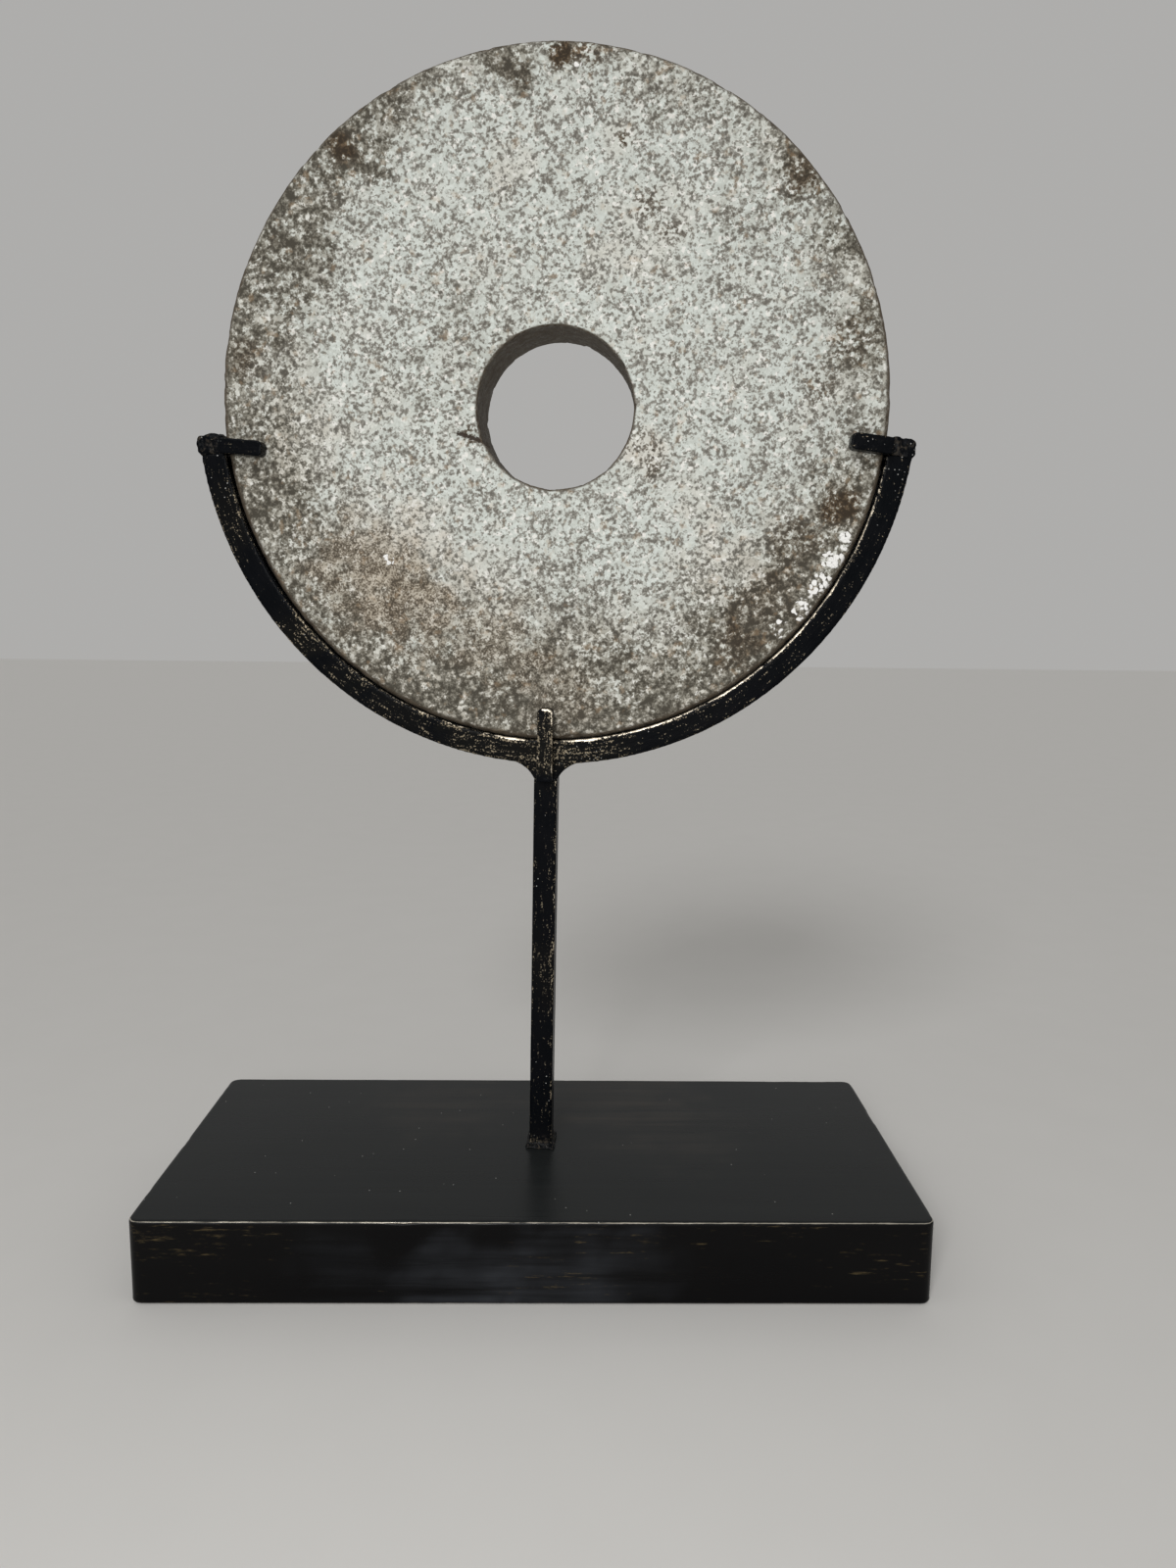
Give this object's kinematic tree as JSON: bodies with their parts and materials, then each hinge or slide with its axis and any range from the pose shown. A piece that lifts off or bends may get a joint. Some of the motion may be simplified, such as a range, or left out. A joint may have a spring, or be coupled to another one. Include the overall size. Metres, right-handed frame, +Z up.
{
  "type": "jade bi disc on a stand",
  "caption": "Thick round stone disc with a centre hole, resting upright in the curved metal cradle of a post on a flat rectangular base.",
  "frame": {"origin": "middle of the base's underside, on the surface that the stand rests on", "axes": "+Z up, +X to the right of a viewer who faces the disc, -Y towards that viewer"},
  "size_m": [0.254, 0.111, 0.3901],
  "materials": {
    "stone": "weathered granular stone, pale green-white grains on grey-olive, stained brown at the rim",
    "black_metal": "satin blue-black paint rubbed through to dull bronze along the edges",
    "base_paint": "satin charcoal-black paint, edges worn to a thin pale bronze line"
  },
  "bodies": {
    "root": {"disc": "stone", "base": "base_paint", "post": "black_metal", "cradle": "black_metal", "tip_left": "black_metal", "tip_right": "black_metal", "finger_front_left": "black_metal", "finger_back_left": "black_metal", "finger_front_right": "black_metal", "finger_back_right": "black_metal", "finger_front_bottom": "black_metal", "finger_back_bottom": "black_metal"}
  },
  "joints": []
}
